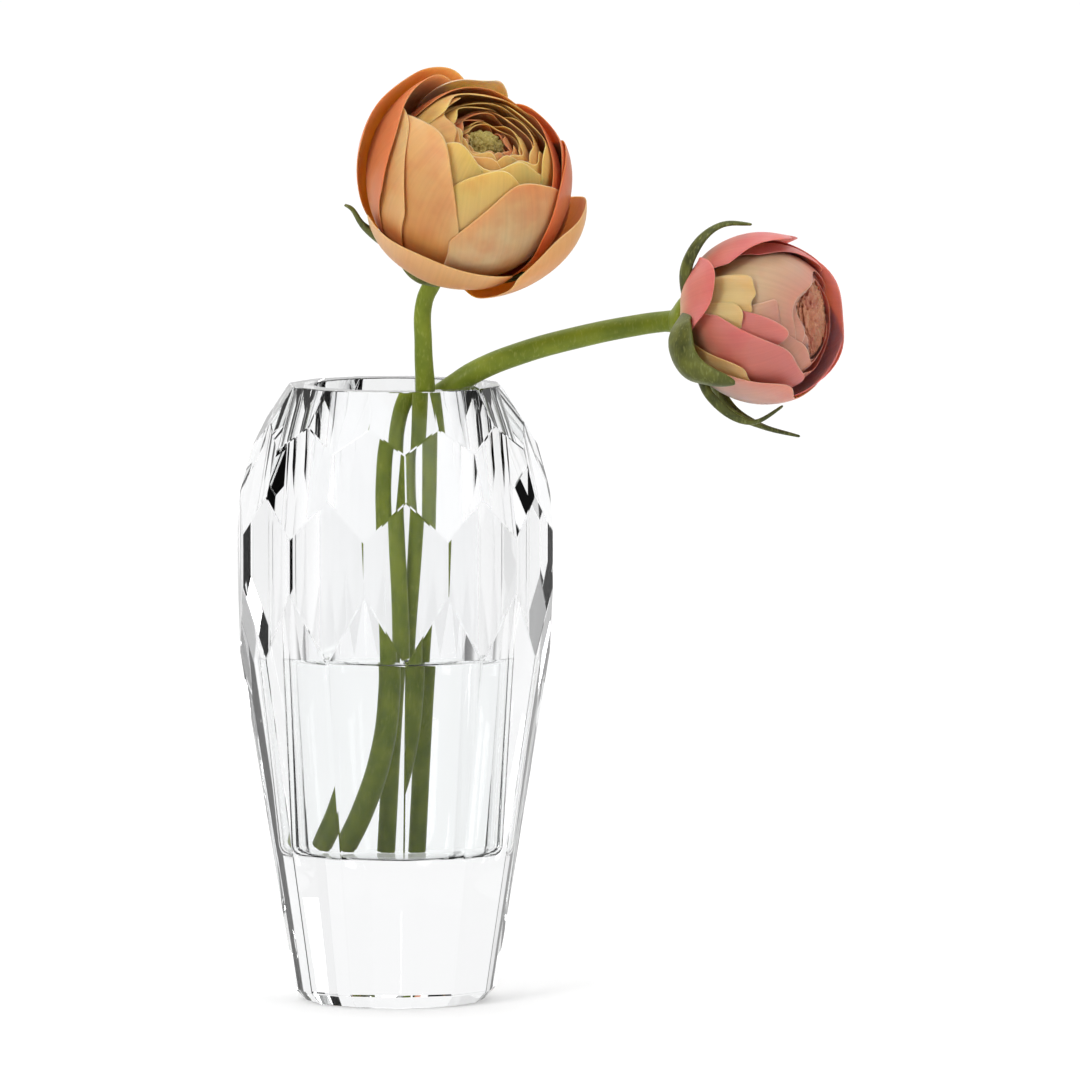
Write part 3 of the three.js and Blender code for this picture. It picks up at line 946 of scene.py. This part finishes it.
# %% Rose heart, petals and eye
heart = join_pieces(
    heart_petals(
        rose_head, 18, (10.5, 18.2), (30, 33), (4.0, 0.0), (60, 88), (0.5, 0.05), {"wave": 0.3, "bumps": 0.3}
    )
)
finish_piece(heart, "rose_flower_heart", "pink_flower", globe_petals, ["pink_heart"])
outer_petals(
    rose_head,
    [
        (rose_petals, spoon(18.7, -10, 46, 26, corner=0.45, tint=0.0, tint_lip=-0.2)),
        (cream_petals, spoon(19.0, 24, 72, 17, corner=0.1, square=6, tint=-0.2, tint_lip=-0.2)),
        (rose_petals, spoon(19.9, -44, 46, 52, slant=10, tint=-0.1, tint_lip=0.0, corner=0.35)),
        (deep_rose_petals_painted_lit_inside, spoon(19.8, 190, 31, 70, flare=1.6, tint=-0.2, tint_lip=0.0)),
        (deep_rose_petals_painted_lit_inside, spoon(20.4, -136, 33, 58, flare=1.0, tint=-0.1, tint_lip=0.1)),
        (rose_petals, spoon(19.7, 124, 42, 56, tint=0.0, tint_lip=0.1, ruffle=0.1)),
        (pale_rose_petals, spoon(21.8, -84, 52, 50, flare=0.8, tint=-0.2, tint_lip=-0.1, ruffle=0.12)),
        (rose_petals, spoon(22.4, 92, 62, 44, roll=0.4, tint=-0.1, tint_lip=0.2, ruffle=0.09, wave=0.8)),
        (cream_petals, spoon(19.4, -2, 80, 20, corner=0.08, square=7, tint=-0.2, tint_lip=-0.2)),
        (cream_petals, spoon(21.3, -38, 82, 22, skew=-16, corner=0.14, square=4, tint=0.5, tint_lip=0.1)),
        (rose_petals, spoon(21.6, 28, 98, 28, flare=2.0, tint=-0.1, tint_lip=0.2, claw=0.5)),
        (rose_petals, spoon(21.6, 150, 56, 46, tint=0.1, tint_lip=0.3)),
    ],
    "pink_flower", "pink", 8, "rose_flower",
)
eye = make_eye(rose_head, 9.6, 11.6, 4.6, 0.32, 5.0)
finish_piece(eye, "rose_flower_eye", "pink_flower", rose_eye_finish, ["pink_eye"])


# %% [markdown]
# ## Sepals and receptacles
#
# Five green sepals stand behind each head. Those in front have dried and curled away from it as narrow,
# cupped horns, and those behind still clasp it. Each is a narrow grid laid along a curve through a few
# places round the head, cupped across its width.

# %% Sepals
def along_curve(points, share):
    """A point of a smooth curve that runs through all the points (a Catmull-Rom curve)."""
    last = len(points) - 1
    at = min(share * last, last - 1e-6)
    i = int(at)
    t = at - i
    before, start, end, after = (points[min(max(k, 0), last)] for k in (i - 1, i, i + 1, i + 2))
    straight = start * 2 + (end - before) * t
    bend = (before * 2 - start * 5 + end * 4 - after) * t**2 + (start * 3 - before - end * 3 + after) * t**3
    return (straight + bend) * 0.5


def make_sepal(head, route, width, cup):
    """A cupped leaf along a route of offsets from the head's centre, mm (right, back, up)."""
    points = [head.centre + Vector(offset) for offset in route]
    bpy.ops.object.select_all(action="DESELECT")
    bpy.ops.mesh.primitive_grid_add(x_subdivisions=6, y_subdivisions=20, size=2, location=(0, 0, 0))
    obj = bpy.context.object
    for vertex in obj.data.vertices:
        u, v = vertex.co.x, (vertex.co.y + 1) / 2
        place = along_curve(points, v)
        ahead = along_curve(points, min(1.0, v + 0.02)) - along_curve(points, max(0.0, v - 0.02))
        ahead.normalize()
        outward = place - head.centre
        outward = (outward - ahead * outward.dot(ahead)).normalized()
        across = ahead.cross(outward)
        half = width / 2 * (0.7 + 0.5 * math.sin(math.pi * min(1.0, v * 1.5)))
        half = half * max(0.03, 1 - v**2.2) ** 0.7
        vertex.co = (place + across * u * half - outward * cup * half * u * u) * MM
    thicken(obj, 0.8)
    close_up(obj)
    return obj


def add_sepals(head, body, cad_name, name, sepals):
    """Makes sepals from (route, width, cup), one for each sepal of the engineering model."""
    for i, (route, width, cup) in enumerate(sepals, start=1):
        leaf = make_sepal(head, route, width, cup)
        replaces = [f"{cad_name}_sepal_{i}"]
        finish_piece(leaf, f"{name}_sepal_{i}", body, sepal_green, replaces)


def clasping(head, turn, ball, start, end):
    """A route that hugs the head's back, from one angle off the axis to another."""
    route = []
    for k in range(4):
        polar = math.radians(start + (end - start) * k / 3)
        azimuth = math.radians(turn)
        out = math.sin(polar) * ball
        place = head.place(out * math.sin(azimuth), out * math.cos(azimuth), math.cos(polar) * ball)
        route.append(tuple(place / MM - head.centre))
    return route


PEACH_BACK = 29.6
add_sepals(
    peach_head, "orange_flower", "orange", "peach_flower",
    [
        (
            [(-11, 14, -26), (-18, 8, -19), (-23, 4, -16.5), (-28, 2, -12), (-30.6, 2, -7.5), (-32.6, 2, -6)],
            4.2, 1.0,
        ),
        ([(-9.5, 12, -27.5), (-14, 6, -26), (-17, 3, -23), (-19, 2, -19)], 4.2, 0.9),
        (clasping(peach_head, 150, PEACH_BACK, 160, 105), 6.5, 0.3),
        (clasping(peach_head, 215, PEACH_BACK, 160, 100), 6.5, 0.3),
        (clasping(peach_head, 280, PEACH_BACK, 160, 120), 6.0, 0.3),
    ],
)
ROSE_BACK = 23.6
add_sepals(
    rose_head, "pink_flower", "pink", "rose_flower",
    [
        ([(-20, 3, 2), (-21.5, 0, 12), (-17.5, -2, 20.5), (-10.5, -3, 25), (-3, -3, 24.5)], 5.0, 1.0),
        (
            [(-21, -2, 1), (-24.5, -8, -5), (-21.5, -15, -11.5), (-14, -19, -14.5), (-7.5, -20.5, -15)],
            15.0, 0.6,
        ),
        ([(-18, 2, -11), (-15.5, -4, -19), (-9, -7, -25), (-2, -7, -26.5), (5, -6, -22)], 3.8, 1.0),
        ([(-15, 6, -15), (-9, 3, -24.5), (0, 1, -28.5), (9.5, 0, -30.5)], 3.8, 1.0),
        (clasping(rose_head, 170, ROSE_BACK, 158, 85), 6.5, 0.3),
    ],
)


# %% Receptacles
def make_receptacle(head, ball, stem_radius):
    """A small bell that swells from the stem to the sepals' claws."""
    outline = [
        (0, -ball - 4.6), (stem_radius, -ball - 4.6), (stem_radius + 0.6, -ball - 3.6),
        (stem_radius + 2.6, -ball - 2.0), (stem_radius + 4.2, -ball - 0.3),
        (stem_radius + 4.4, -ball + 0.8), (stem_radius + 3.0, -ball + 1.4), (0, -ball + 1.6),
    ]
    obj = spin_solid(outline, 40)
    for vertex in obj.data.vertices:
        x, y, z = vertex.co / MM
        vertex.co = head.place(x, y, z)
    close_up(obj)
    smooth = obj.modifiers.new("softness", "SUBSURF")
    smooth.levels = smooth.render_levels = 1
    apply_modifiers(obj)
    return obj


finish_piece(
    make_receptacle(peach_head, 27.5, 2.7),
    "peach_flower_receptacle", "orange_flower", stem_green, ["orange_receptacle"],
)
finish_piece(
    make_receptacle(rose_head, 21.6, 2.8),
    "rose_flower_receptacle", "pink_flower", stem_green, ["pink_receptacle"],
)
